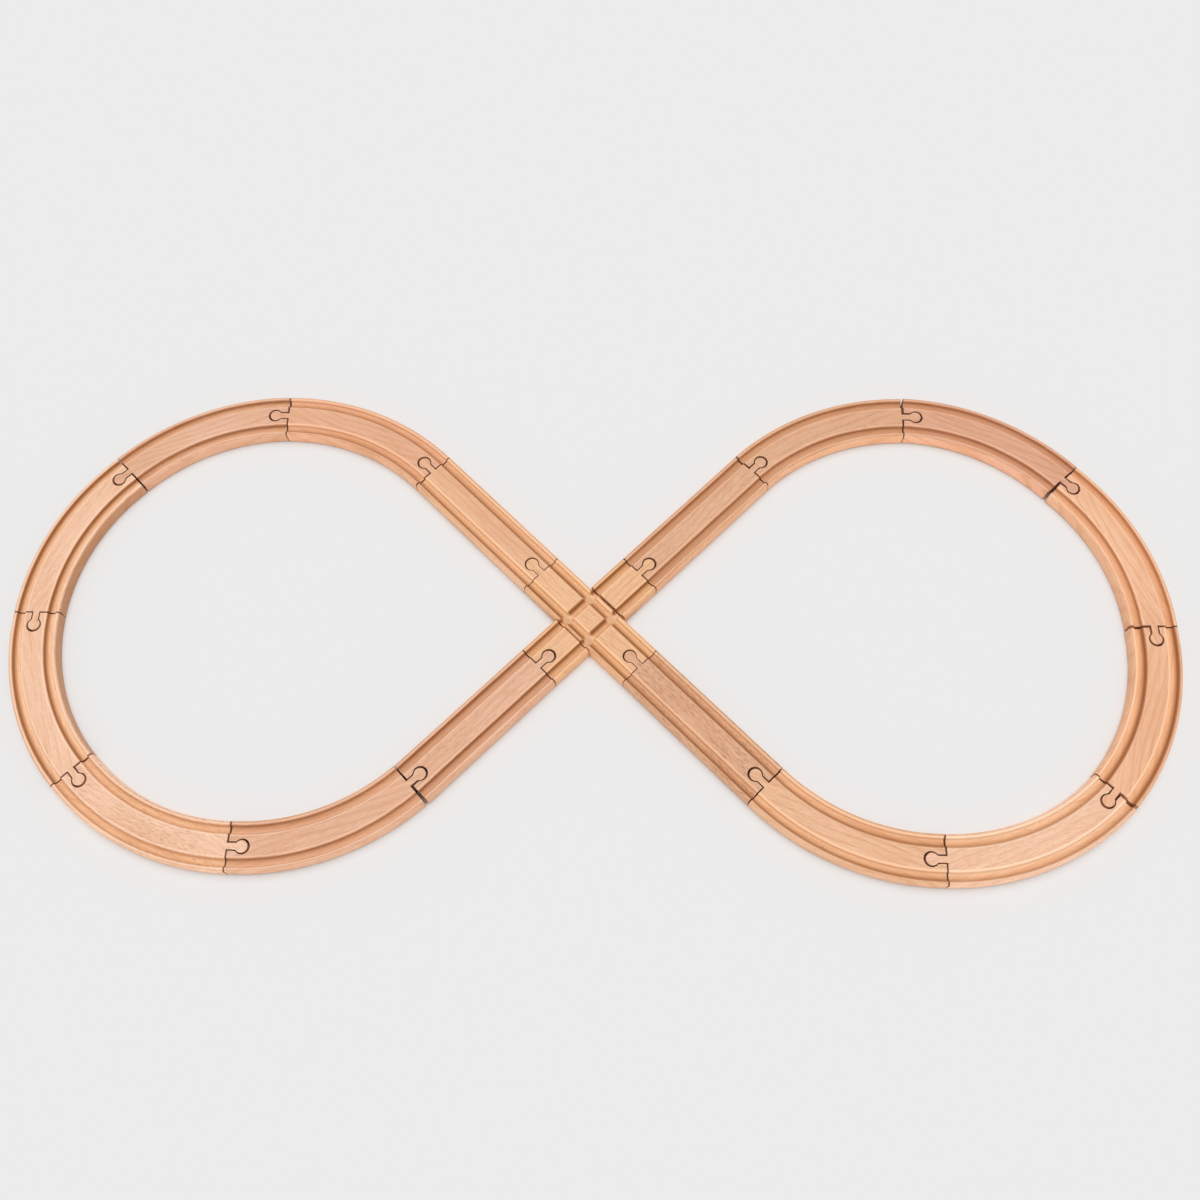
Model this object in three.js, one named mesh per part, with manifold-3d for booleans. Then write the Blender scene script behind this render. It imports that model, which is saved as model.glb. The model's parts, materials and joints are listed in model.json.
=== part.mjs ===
// A wooden toy train track laid as a figure of eight: a crossing in the middle and two loops,
// each of two straights and six curves. Every piece ends in a round-headed peg at one end and in
// a keyhole socket at the other, so a piece lifts straight up out of its neighbours.
// Millimetres, +Z up. The origin lies on the table under the middle of the crossing,
// +X runs along the crossing's through bar and +Y along its arms.
import * as THREE from 'three';
import { mergeVertices } from 'three/addons/utils/BufferGeometryUtils.js';
import Module from 'manifold-3d';

// Section of the track, across the running direction
const RIB_WIDTH = 20;
const GROOVE_WIDTH = 6;
const GROOVE_DEPTH = 3;
const RIM_WIDTH = 4;
const TRACK_HEIGHT = 12;
const EDGE_ROUND = 2.5;

// Lengths along the centre line
const CURVE_RADIUS = 192;
const CURVES_PER_LOOP = 6;
const CROSSING_LENGTH = 118;
// How far a straight runs past the point where an ideal loop would touch its first curve
const STRAIGHT_SLACK = 7;

// Peg
const PEG_NECK_WIDTH = 6.4;
const PEG_HEAD_DIAMETER = 12;
const PEG_REACH = 11.5;

// Glue dowels that hold the two arms on the crossing's through bar
const DOWEL_DIAMETER = 5;
const DOWEL_LENGTH = 24;
const DOWEL_SPACING = 20;
const DOWEL_CHAMFER = 0.6;

// Clearances
const END_CLEARANCE = 0.45;
const PEG_CLEARANCE = 0.3;
const SEAM_CLEARANCE = 0.3;
const DOWEL_CLEARANCE = 0.3;

// How the pieces lie: the swivel at each joint in degrees, from the crossing round to the crossing.
// The settling joints then turn a little further, until the loop closes.
const LEFT_SWIVELS = [0, -0.5, 1, -1, 0, -1, -1, 2.5, 0];
const RIGHT_SWIVELS = [0, -1, -3, 3, 2.5, -3, 1, 0.5, 0];
const SETTLING_JOINTS = [2, 4, 6];
const SETTLING_ROUNDS = 12;
const SETTLING_STEP = 1e-5;

// Fineness of the facets, how far a cutter runs past the wood and how deep a peg is rooted
const CURVE_STEPS = 10;
const ROUND_SEGMENTS = 2;
const PEG_SEGMENTS = 9;
const DOWEL_SEGMENTS = 18;
const OVERCUT = 1;
const PEG_ROOT = 2;

// Derived sizes
const TRACK_WIDTH = RIB_WIDTH + 2 * (GROOVE_WIDTH + RIM_WIDTH);
const FLOOR_HEIGHT = TRACK_HEIGHT - GROOVE_DEPTH;
const GROOVE_CENTRE = (RIB_WIDTH + GROOVE_WIDTH) / 2;
const CURVE_ANGLE = 1.5 * Math.PI / CURVES_PER_LOOP;
const CROSSING_HALF = CROSSING_LENGTH / 2;
const STRAIGHT_LENGTH = CURVE_RADIUS - CROSSING_HALF + STRAIGHT_SLACK;
const ARM_START = TRACK_WIDTH / 2 + SEAM_CLEARANCE;
const ARM_LENGTH = CROSSING_HALF - ARM_START;
const HEAD_RADIUS = PEG_HEAD_DIAMETER / 2;

const WOOD = {
  straight: { color: '#dfb186', roughness: 0.55 },
  leftCurve: { color: '#dcab82', roughness: 0.55 },
  rightCurve: { color: '#dba680', roughness: 0.55 },
  crossing: { color: '#e0b487', roughness: 0.55 },
  dowel: { color: '#e6c79c', roughness: 0.7 },
};

const wasm = await Module();
wasm.setup();

// Solids from three.js geometry, and named meshes from solids
function solidOf(geometry) {
  geometry.deleteAttribute('normal');
  geometry.deleteAttribute('uv');
  const merged = mergeVertices(geometry);
  return new wasm.Manifold(new wasm.Mesh({
    numProp: 3,
    vertProperties: new Float32Array(merged.attributes.position.array),
    triVerts: new Uint32Array(merged.index.array),
  }));
}

function meshOf(name, solid, wood) {
  const { vertProperties, triVerts } = solid.getMesh();
  const geometry = new THREE.BufferGeometry();
  geometry.setAttribute('position', new THREE.BufferAttribute(vertProperties, 3));
  geometry.setIndex(new THREE.BufferAttribute(triVerts, 1));
  geometry.computeVertexNormals();
  const mesh = new THREE.Mesh(geometry, new THREE.MeshStandardMaterial({ ...wood, metalness: 0 }));
  mesh.name = name;
  return mesh;
}

// Place on the table: a point and the direction that a piece runs in there
function place(x, y, heading) {
  return { x, y, heading };
}

function ahead(from, distance) {
  const x = from.x + distance * Math.cos(from.heading);
  const y = from.y + distance * Math.sin(from.heading);
  return place(x, y, from.heading);
}

function turned(from, angle) {
  return place(from.x, from.y, from.heading + angle);
}

// Where a piece that starts at a place ends: its far face, and the direction it runs in there
function afterStraight(start) {
  return ahead(start, STRAIGHT_LENGTH);
}

function afterCurve(start, turn) {
  const chord = 2 * CURVE_RADIUS * Math.sin(CURVE_ANGLE / 2);
  const halfway = turned(start, turn * CURVE_ANGLE / 2);
  return turned(ahead(halfway, chord), turn * CURVE_ANGLE / 2);
}

// Gap between two end faces that keeps their corners apart at a swivel
function endGap(swivel) {
  return END_CLEARANCE + TRACK_WIDTH / 2 * Math.tan(Math.abs(swivel));
}

// The next piece turns about the head of the last one's peg and stands its gap away
function afterJoint(end, swivel) {
  const head = turned(ahead(end, PEG_REACH), swivel);
  return ahead(head, endGap(swivel) - PEG_REACH);
}

// A loop leaves the crossing in one direction, and turns by three right angles on its way back
function layLoop(loop, swivels) {
  const starts = [];
  const lastJoint = CURVES_PER_LOOP + 1;
  let end = ahead(place(0, 0, loop.heading), CROSSING_HALF);
  for (let index = 0; index <= lastJoint; index += 1) {
    const start = afterJoint(end, swivels[index]);
    const isCurve = index > 0 && index < lastJoint;
    end = isCurve ? afterCurve(start, loop.turn) : afterStraight(start);
    starts.push(start);
  }
  return { starts, finish: afterJoint(end, swivels[lastJoint + 1]) };
}

// How far a laid loop misses the socket end of the crossing, in x, in y and in direction
function missOf(loop, swivels) {
  const { finish } = layLoop(loop, swivels);
  const back = loop.heading + loop.turn * CURVES_PER_LOOP * CURVE_ANGLE;
  const goal = ahead(place(0, 0, back), -CROSSING_HALF);
  return new THREE.Vector3(finish.x - goal.x, finish.y - goal.y, finish.heading - goal.heading);
}

// Newton's method on the swivels of the settling joints
function settledSwivels(loop) {
  const swivels = loop.swivels.map(THREE.MathUtils.degToRad);
  for (let round = 0; round < SETTLING_ROUNDS; round += 1) {
    const miss = missOf(loop, swivels);
    const columns = SETTLING_JOINTS.map((joint) => {
      const nudged = swivels.with(joint, swivels[joint] + SETTLING_STEP);
      return missOf(loop, nudged).sub(miss).divideScalar(SETTLING_STEP);
    });
    const slopes = new THREE.Matrix3().setFromMatrix4(new THREE.Matrix4().makeBasis(...columns));
    const change = miss.applyMatrix3(slopes.invert());
    SETTLING_JOINTS.forEach((joint, index) => {
      swivels[joint] -= change.getComponent(index);
    });
  }
  return swivels;
}

const LOOPS = [
  { name: 'left', turn: 1, heading: Math.PI, swivels: LEFT_SWIVELS, wood: WOOD.leftCurve },
  { name: 'right', turn: -1, heading: Math.PI / 2, swivels: RIGHT_SWIVELS, wood: WOOD.rightCurve },
];
for (const loop of LOOPS) {
  loop.settled = settledSwivels(loop);
}

// All sockets are alike. At the narrowest gap a head lies in the middle of its socket, and at a wider
// one it is drawn towards the mouth, so a socket is as loose as the widest swivel asks.
const WIDEST_SWIVEL = Math.max(...LOOPS.flatMap((loop) => loop.settled.map(Math.abs)));
const WIDEST_DRAW = endGap(WIDEST_SWIVEL) - END_CLEARANCE;
const SOCKET_REACH = PEG_REACH - END_CLEARANCE;
const SOCKET_RADIUS = HEAD_RADIUS + PEG_CLEARANCE + WIDEST_DRAW;
const SLOT_WIDTH = PEG_NECK_WIDTH + 2 * (PEG_CLEARANCE + PEG_REACH * Math.tan(WIDEST_SWIVEL));

// The track's section, drawn with height along -x and the left-hand side along +y, which is how
// a section is carried along a level path: two grooves between a rib and two rounded rims
function trackSection() {
  const side = TRACK_WIDTH / 2;
  const outer = GROOVE_CENTRE + GROOVE_WIDTH / 2;
  const inner = GROOVE_CENTRE - GROOVE_WIDTH / 2;
  const round = Math.min(EDGE_ROUND, 0.75 * RIM_WIDTH);
  const top = -TRACK_HEIGHT;
  const floor = -FLOOR_HEIGHT;
  const shape = new THREE.Shape();
  shape.moveTo(0, -side);
  shape.lineTo(0, side);
  shape.absarc(top + round, side - round, round, Math.PI / 2, Math.PI, false);
  for (const [near, far] of [[outer, inner], [-inner, -outer]]) {
    shape.lineTo(top, near);
    shape.lineTo(floor, near);
    shape.lineTo(floor, far);
    shape.lineTo(top, far);
  }
  shape.absarc(top + round, -side + round, round, Math.PI, 1.5 * Math.PI, false);
  shape.closePath();
  return shape;
}

// Level arc that leaves the origin along +X and turns to the left (turn 1) or the right (turn -1)
class TrackArc extends THREE.Curve {
  constructor(turn) {
    super();
    this.turn = turn;
  }

  getPoint(t, target = new THREE.Vector3()) {
    const angle = CURVE_ANGLE * t;
    const aside = CURVE_RADIUS * (1 - Math.cos(angle));
    return target.set(CURVE_RADIUS * Math.sin(angle), this.turn * aside, 0);
  }

  getTangent(t, target = new THREE.Vector3()) {
    const angle = CURVE_ANGLE * t;
    return target.set(Math.cos(angle), this.turn * Math.sin(angle), 0);
  }
}

// A length of track that leaves the origin along +X
function carriedSection(path, steps) {
  const options = { extrudePath: path, steps, curveSegments: ROUND_SEGMENTS };
  return solidOf(new THREE.ExtrudeGeometry(trackSection(), options));
}

function straightTrack(length) {
  const path = new THREE.LineCurve3(new THREE.Vector3(), new THREE.Vector3(length, 0, 0));
  return carriedSection(path, 1);
}

function curvedTrack(turn) {
  return carriedSection(new TrackArc(turn), CURVE_STEPS);
}

// Keyhole outline: a neck along +X from behind the end face to a round head
function keyhole(neckWidth, headRadius, reach, root) {
  const half = neckWidth / 2;
  const mouth = Math.asin(half / headRadius);
  const shape = new THREE.Shape();
  shape.moveTo(-root, half);
  shape.lineTo(-root, -half);
  shape.absarc(reach, 0, headRadius, Math.PI + mouth, Math.PI - mouth, false);
  shape.closePath();
  return shape;
}

function upright(shape, low, high, at) {
  const options = { depth: high - low, bevelEnabled: false, curveSegments: PEG_SEGMENTS };
  const geometry = new THREE.ExtrudeGeometry(shape, options);
  geometry.translate(0, 0, low);
  geometry.rotateZ(at.heading);
  geometry.translate(at.x, at.y, 0);
  return solidOf(geometry);
}

// A peg stands out of the end face at a place, and a socket is cut into the wood ahead of a place
function pegAt(end) {
  return upright(keyhole(PEG_NECK_WIDTH, HEAD_RADIUS, PEG_REACH, PEG_ROOT), 0, TRACK_HEIGHT, end);
}

function socketAt(start) {
  const outline = keyhole(SLOT_WIDTH, SOCKET_RADIUS, SOCKET_REACH, OVERCUT);
  return upright(outline, -OVERCUT, TRACK_HEIGHT + OVERCUT, start);
}

const TRACK_START = place(0, 0, 0);

function straightPiece() {
  const peg = pegAt(afterStraight(TRACK_START));
  return straightTrack(STRAIGHT_LENGTH).add(peg).subtract(socketAt(TRACK_START));
}

function curvePiece(turn) {
  const peg = pegAt(afterCurve(TRACK_START, turn));
  return curvedTrack(turn).add(peg).subtract(socketAt(TRACK_START));
}

// One loop: its pieces in the order that a train meets them
function loopGroup(loop) {
  const group = new THREE.Group();
  const lastPiece = CURVES_PER_LOOP + 1;
  const names = new Map([[0, 'straight_out'], [lastPiece, 'straight_back']]);
  layLoop(loop, loop.settled).starts.forEach((start, index) => {
    const isStraight = names.has(index);
    const solid = isStraight ? straightPiece() : curvePiece(loop.turn);
    const name = `${loop.name}_${names.get(index) ?? `curve_${index}`}`;
    const mesh = meshOf(name, solid, isStraight ? WOOD.straight : loop.wood);
    mesh.position.set(start.x, start.y, 0);
    mesh.rotation.z = start.heading;
    group.add(mesh);
  });
  return group;
}

// Dowel along +Y through a place on the seam, or its bore when it is given room
function dowelSolid(room) {
  const radius = DOWEL_DIAMETER / 2 + room;
  const half = DOWEL_LENGTH / 2 + room;
  const profile = [
    new THREE.Vector2(0, -half),
    new THREE.Vector2(radius - DOWEL_CHAMFER, -half),
    new THREE.Vector2(radius, DOWEL_CHAMFER - half),
    new THREE.Vector2(radius, half - DOWEL_CHAMFER),
    new THREE.Vector2(radius - DOWEL_CHAMFER, half),
    new THREE.Vector2(0, half),
  ];
  return solidOf(new THREE.LatheGeometry(profile, DOWEL_SEGMENTS));
}

// Two dowels cross each seam, at half the height of the wood under the grooves
const SEAM = (TRACK_WIDTH + SEAM_CLEARANCE) / 2;
const DOWEL_PLACES = [
  { name: 'crossing_dowel_right_1', at: [-DOWEL_SPACING / 2, SEAM, FLOOR_HEIGHT / 2] },
  { name: 'crossing_dowel_right_2', at: [DOWEL_SPACING / 2, SEAM, FLOOR_HEIGHT / 2] },
  { name: 'crossing_dowel_left_1', at: [-DOWEL_SPACING / 2, -SEAM, FLOOR_HEIGHT / 2] },
  { name: 'crossing_dowel_left_2', at: [DOWEL_SPACING / 2, -SEAM, FLOOR_HEIGHT / 2] },
];

function withDowelBores(solid) {
  let bored = solid;
  for (const { at } of DOWEL_PLACES) {
    bored = bored.subtract(dowelSolid(DOWEL_CLEARANCE).translate(at));
  }
  return bored;
}

// Wheel groove across the through bar, so that the grooves of the two arms run on
function crossGroove(x) {
  const depth = GROOVE_DEPTH + OVERCUT;
  const geometry = new THREE.BoxGeometry(GROOVE_WIDTH, TRACK_WIDTH + 2 * OVERCUT, depth);
  geometry.translate(x, 0, FLOOR_HEIGHT + depth / 2);
  return solidOf(geometry);
}

function crossingBar() {
  const pegEnd = place(-CROSSING_HALF, 0, Math.PI);
  const socketEnd = place(CROSSING_HALF, 0, Math.PI);
  const bar = straightTrack(CROSSING_LENGTH).translate([-CROSSING_HALF, 0, 0]);
  const grooved = bar.subtract(crossGroove(GROOVE_CENTRE)).subtract(crossGroove(-GROOVE_CENTRE));
  return withDowelBores(grooved.add(pegAt(pegEnd)).subtract(socketAt(socketEnd)));
}

function armBody(fromY) {
  return straightTrack(ARM_LENGTH).rotate([0, 0, 90]).translate([0, fromY, 0]);
}

function rightArm() {
  const pegEnd = place(0, CROSSING_HALF, Math.PI / 2);
  return withDowelBores(armBody(ARM_START).add(pegAt(pegEnd)));
}

function leftArm() {
  const socketEnd = place(0, -CROSSING_HALF, Math.PI / 2);
  return withDowelBores(armBody(-CROSSING_HALF).subtract(socketAt(socketEnd)));
}

function crossingGroup() {
  const group = new THREE.Group();
  group.add(meshOf('crossing_bar', crossingBar(), WOOD.crossing));
  group.add(meshOf('crossing_arm_right', rightArm(), WOOD.crossing));
  group.add(meshOf('crossing_arm_left', leftArm(), WOOD.crossing));
  for (const { name, at } of DOWEL_PLACES) {
    const dowel = meshOf(name, dowelSolid(0), WOOD.dowel);
    dowel.position.set(...at);
    group.add(dowel);
  }
  return group;
}

const track = new THREE.Group();
track.name = 'wooden_train_track';
track.add(crossingGroup());
for (const loop of LOOPS) {
  track.add(loopGroup(loop));
}

export default track;
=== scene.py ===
"""Beech toy train track laid as a figure of eight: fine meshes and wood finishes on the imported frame."""
from __future__ import annotations

import json
import logging
import math
from dataclasses import dataclass
from enum import Enum
from typing import Any, Callable, ClassVar, Iterable, Union

import bmesh
import bpy
import numpy as np
from mathutils import Matrix, Vector

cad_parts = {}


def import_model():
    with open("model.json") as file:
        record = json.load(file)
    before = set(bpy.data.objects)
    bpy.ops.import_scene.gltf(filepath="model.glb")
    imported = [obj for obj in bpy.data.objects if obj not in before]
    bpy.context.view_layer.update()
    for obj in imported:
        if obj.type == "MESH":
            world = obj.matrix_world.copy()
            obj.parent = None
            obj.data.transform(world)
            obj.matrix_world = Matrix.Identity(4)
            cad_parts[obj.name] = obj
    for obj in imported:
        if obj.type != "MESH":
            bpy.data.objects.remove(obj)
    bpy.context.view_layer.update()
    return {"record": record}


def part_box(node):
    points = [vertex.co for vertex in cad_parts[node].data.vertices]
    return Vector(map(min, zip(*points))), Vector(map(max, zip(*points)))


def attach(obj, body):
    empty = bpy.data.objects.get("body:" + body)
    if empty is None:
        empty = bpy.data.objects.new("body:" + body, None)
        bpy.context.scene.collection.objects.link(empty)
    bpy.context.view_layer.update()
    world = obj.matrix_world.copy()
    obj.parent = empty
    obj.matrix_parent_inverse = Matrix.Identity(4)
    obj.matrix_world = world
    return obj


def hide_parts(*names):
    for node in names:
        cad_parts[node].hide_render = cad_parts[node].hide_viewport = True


LOG = logging.getLogger("train_track")
MM = 0.001
PER_METRE = 1000.0
LOOP_TURN = 1.5 * math.pi
MERGE_DISTANCE = 1e-6
MIX_SHARE, MIX_FIRST, MIX_SECOND, MIX_RESULT = 0, 6, 7, 2

Colour = tuple[float, float, float, float]
Span = tuple[float, float]


@dataclass(frozen=True)
class Place:
    """A point on the table in millimetres and the direction that a piece runs in there."""

    x: float
    y: float
    heading: float

    def ahead(self, distance: float) -> Place:
        """Return the place a distance further along the heading."""
        step_x = distance * math.cos(self.heading)
        step_y = distance * math.sin(self.heading)
        return Place(self.x + step_x, self.y + step_y, self.heading)

    def turned(self, angle: float) -> Place:
        """Return the same point with the heading turned by an angle."""
        return Place(self.x, self.y, self.heading + angle)

    def to_table(self, points: np.ndarray) -> np.ndarray:
        """Carry points from a piece's own frame to the table.

        The plan is turned by the heading and moved to the point; heights stay.

        Args:
            points: Array of shape (n, 3) in millimetres.

        Returns:
            The carried points, in the same shape.
        """
        cosine, sine = math.cos(self.heading), math.sin(self.heading)
        turn = np.array([[cosine, sine, 0.0], [-sine, cosine, 0.0], [0.0, 0.0, 1.0]])
        return points @ turn + np.array([self.x, self.y, 0.0])


@dataclass(frozen=True)
class Section:
    """The track's section across the running direction, in millimetres."""

    rib_width: float = 20.0
    groove_width: float = 6.0
    groove_depth: float = 3.0
    rim_width: float = 4.0
    height: float = 12.0
    edge_round: float = 2.5
    groove_round: float = 1.4
    foot_round: float = 1.5
    edge_steps: int = 8
    round_steps: int = 5

    @property
    def rib_half(self) -> float:
        """Half the rib's width."""
        return self.rib_width / 2

    @property
    def rim_inner(self) -> float:
        """Distance from the middle to the inner wall of a rim."""
        return self.rib_half + self.groove_width

    @property
    def half_width(self) -> float:
        """Half the track's width."""
        return self.rim_inner + self.rim_width

    @property
    def floor(self) -> float:
        """Height of a groove's floor."""
        return self.height - self.groove_depth

    @staticmethod
    def arc(centre: Span, radius: float, turn: Span, steps: int) -> np.ndarray:
        """Return (distance from the middle, height) on a circle between two angles in degrees."""
        angle = np.radians(np.linspace(turn[0], turn[1], steps + 1))
        return np.column_stack([centre[0] + radius * np.cos(angle), centre[1] + radius * np.sin(angle)])

    def groove_profile(self) -> np.ndarray:
        """Work out a groove from the top of the rim down and up to the flat of the rib.

        Both top edges are quarter circles, and so are both feet of the walls.

        Returns:
            Array of (distance from the middle, height).
        """
        top, foot, steps = self.groove_round, self.foot_round, self.round_steps
        high, low = self.height - top, self.floor + foot
        return np.concatenate([
            self.arc((self.rim_inner + top, high), top, (90.0, 180.0), steps),
            self.arc((self.rim_inner - foot, low), foot, (0.0, -90.0), steps),
            self.arc((self.rib_half + foot, low), foot, (-90.0, -180.0), steps),
            self.arc((self.rib_half - top, high), top, (0.0, 90.0), steps),
        ])

    def profile(self) -> np.ndarray:
        """Work out the whole section, from the foot of the right side over the top to that of the left.

        Returns:
            Array of (distance to the left of the middle, height). The flat of the rib lies between
            the two points in the middle of the array.
        """
        corner = (self.half_width - self.edge_round, self.height - self.edge_round)
        side = np.array([[self.half_width, 0.0], [self.half_width, self.floor]])
        edge = self.arc(corner, self.edge_round, (0.0, 90.0), self.edge_steps)
        half = np.concatenate([side, edge, self.groove_profile()])
        return np.concatenate([half * np.array([-1.0, 1.0]), half[::-1]])


@dataclass(frozen=True)
class PegFit:
    """The pegs and sockets, in millimetres."""

    neck_width: float = 5.8
    head_diameter: float = 10.4
    reach: float = 11.5
    clearance: float = 0.3
    end_clearance: float = 0.45
    ring: float = 0.65
    depth: float = 0.6
    fillet: float = 1.8
    arc_steps: int = 40
    fillet_steps: int = 6

    def keyhole(self, neck_half: float, head_radius: float, reach: float) -> np.ndarray:
        """Work out a neck and a round head in plan, from the right-hand root round to the left.

        The neck's straight side runs into a fillet circle that touches both the side and the head.
        The fillet's centre lies a fillet radius outside the side, and a head radius plus a fillet
        radius from the head's centre.

        Args:
            neck_half: Half the neck's width.
            head_radius: Radius of the head.
            reach: Distance of the head's centre from the end face.

        Returns:
            Array of (ahead, aside) points.
        """
        fillet_y = -(neck_half + self.fillet)
        fillet_x = reach - math.sqrt((head_radius + self.fillet) ** 2 - fillet_y ** 2)
        touch = math.atan2(-fillet_y, reach - fillet_x)
        rise = np.linspace(math.pi / 2, touch, self.fillet_steps)
        bend_x = fillet_x + self.fillet * np.cos(rise)
        bend_y = fillet_y + self.fillet * np.sin(rise)
        sweep = np.linspace(touch - math.pi, math.pi - touch, self.arc_steps)[1:-1]
        head = np.column_stack([reach + head_radius * np.cos(sweep), head_radius * np.sin(sweep)])
        right = np.column_stack([np.append(0.0, bend_x), np.append(-neck_half, bend_y)])
        left = right[::-1] * np.array([1.0, -1.0])
        return np.concatenate([right, head, left])

    def peg(self) -> np.ndarray:
        """Return the outline of a peg."""
        return self.keyhole(self.neck_width / 2, self.head_diameter / 2, self.reach)

    def end_gap(self, swivel: float, half_width: float) -> float:
        """Return the gap between two end faces, which grows with the swivel until their corners clear."""
        return self.end_clearance + half_width * math.tan(abs(swivel))

    def socket(self, swivel: float, half_width: float) -> np.ndarray:
        """Work out the outline of a socket, which is as loose as its own joint asks.

        The neck's gap grows with the slope of the swivel. The peg's head lies a little in front of
        the socket's centre, so the gap round it is widest at the far end.

        Args:
            swivel: Swivel at the joint, in radians.
            half_width: Half the track's width.

        Returns:
            Array of (ahead, aside) points.
        """
        neck_half = self.neck_width / 2 + self.clearance + self.reach * math.tan(abs(swivel))
        reach = self.reach - self.end_gap(swivel, half_width) + self.depth
        return self.keyhole(neck_half, self.head_diameter / 2 + self.ring, reach)


class Turn(Enum):
    """Which way a length of track bends."""

    STRAIGHT = 0
    LEFT = 1
    RIGHT = -1


@dataclass(frozen=True)
class Layout:
    """The lengths of the pieces and how they lie, in millimetres and degrees."""

    section: Section
    fit: PegFit
    curve_radius: float = 192.0
    curves_per_loop: int = 6
    crossing_length: float = 118.0
    straight_slack: float = 7.0
    seam_clearance: float = 0.3
    settling_joints: tuple[int, ...] = (2, 4, 6)
    settling_rounds: int = 12
    settling_step: float = 1e-5

    @property
    def curve_angle(self) -> float:
        """Angle that one curve turns through."""
        return LOOP_TURN / self.curves_per_loop

    @property
    def crossing_half(self) -> float:
        """Half the crossing's length."""
        return self.crossing_length / 2

    @property
    def straight_length(self) -> float:
        """Length of a straight."""
        return self.curve_radius - self.crossing_half + self.straight_slack

    def after_curve(self, start: Place, turn: Turn) -> Place:
        """Return the far end of a curve that starts at a place."""
        half = turn.value * self.curve_angle / 2
        chord = 2 * self.curve_radius * math.sin(self.curve_angle / 2)
        return start.turned(half).ahead(chord).turned(half)

    def after_joint(self, end: Place, swivel: float) -> Place:
        """Return the start of the next piece, turned about the peg's head and its gap away."""
        gap = self.fit.end_gap(swivel, self.section.half_width)
        head = end.ahead(self.fit.reach).turned(swivel)
        return head.ahead(gap - self.fit.reach)


@dataclass(frozen=True)
class Loop:
    """One loop: which way it bends, the heading in which it leaves the crossing, and its joints' swivels."""

    name: str
    turn: Turn
    heading: float
    degrees: tuple[float, ...]
    layout: Layout

    def lay(self, swivels: np.ndarray) -> tuple[list[Place], Place]:
        """Lay the loop piece by piece from the crossing.

        Args:
            swivels: Swivel of every joint, in radians.

        Returns:
            The start of each piece, and the place where the loop meets the crossing again.
        """
        layout, starts = self.layout, []
        last = layout.curves_per_loop + 1
        end = Place(0.0, 0.0, self.heading).ahead(layout.crossing_half)
        for index in range(last + 1):
            start = layout.after_joint(end, swivels[index])
            is_curve = 0 < index < last
            end = layout.after_curve(start, self.turn) if is_curve else start.ahead(layout.straight_length)
            starts.append(start)
        return starts, layout.after_joint(end, swivels[last + 1])

    def miss(self, swivels: np.ndarray) -> np.ndarray:
        """Return how far the loop misses the crossing in x, y and heading."""
        finish = self.lay(swivels)[1]
        back = self.heading + self.turn.value * LOOP_TURN
        goal = Place(0.0, 0.0, back).ahead(-self.layout.crossing_half)
        return np.array([finish.x - goal.x, finish.y - goal.y, finish.heading - goal.heading])

    def settled(self) -> np.ndarray:
        """Turn the settling joints until the loop closes, by Newton's method, and return all swivels."""
        layout = self.layout
        swivels = np.radians(np.array(self.degrees, dtype=float))
        joints = list(layout.settling_joints)
        for _ in range(layout.settling_rounds):
            error = self.miss(swivels)
            slopes = np.zeros((len(error), len(joints)))
            for column, joint in enumerate(joints):
                nudged = swivels.copy()
                nudged[joint] += layout.settling_step
                slopes[:, column] = (self.miss(nudged) - error) / layout.settling_step
            swivels[joints] -= np.linalg.solve(slopes, error)
        return swivels


class End(Enum):
    """What a length of track ends in."""

    PLAIN = "plain"
    PEG = "peg"
    SOCKET = "socket"


class Grain(Enum):
    """Which way the fibres meet a face; the value is the number of its material."""

    LONG = 0
    END = 1


class MeshParts:
    """Collects points and faces of one closed piece."""

    def __init__(self) -> None:
        """Start with no points and no faces."""
        self.points: list[np.ndarray] = []
        self.faces: list[list[int]] = []
        self.grain: list[int] = []
        self.count = 0

    def add(self, points: np.ndarray) -> np.ndarray:
        """Add points of any grid shape and return their numbers in that shape."""
        flat = points.reshape(-1, 3)
        numbers = np.arange(self.count, self.count + len(flat)).reshape(points.shape[:-1])
        self.points.append(flat)
        self.count += len(flat)
        return numbers

    def quads(self, grid: np.ndarray, grain: Grain = Grain.LONG) -> None:
        """Add the quads between neighbouring rows and columns of a grid of point numbers."""
        corners = [grid[:-1, :-1], grid[1:, :-1], grid[1:, 1:], grid[:-1, 1:]]
        made = np.stack([corner.ravel() for corner in corners], axis=1).tolist()
        self.faces.extend(made)
        self.grain.extend([grain.value] * len(made))

    def face(self, *runs: Iterable[int], grain: Grain = Grain.LONG) -> None:
        """Add one flat face round the given runs of point numbers."""
        self.faces.append([int(number) for run in runs for number in run])
        self.grain.append(grain.value)

    def build(self, name: str, place: Place, smooth: bool) -> bpy.types.Object:
        """Make a closed object of what was collected, with its faces turned outwards.

        Args:
            name: Name of the object.
            place: Where the piece lies on the table.
            smooth: True where the shading runs smoothly from face to face.

        Returns:
            The object, in metres, at the origin.
        """
        mesh = bpy.data.meshes.new(name)
        mesh.from_pydata(place.to_table(np.concatenate(self.points)) * MM, [], self.faces)
        mesh.polygons.foreach_set("material_index", np.array(self.grain, dtype=np.int32))
        closed = bmesh.new()
        closed.from_mesh(mesh)
        bmesh.ops.remove_doubles(closed, verts=closed.verts, dist=MERGE_DISTANCE)
        bmesh.ops.recalc_face_normals(closed, faces=closed.faces)
        for face in closed.faces:
            face.smooth = smooth
        closed.to_mesh(mesh)
        closed.free()
        return in_scene(name, mesh)


def in_scene(name: str, data: bpy.types.ID) -> bpy.types.Object:
    """Make an object of a mesh, a camera or a light and put it into the scene."""
    made = bpy.data.objects.new(name, data)
    bpy.context.scene.collection.objects.link(made)
    return made


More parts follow.
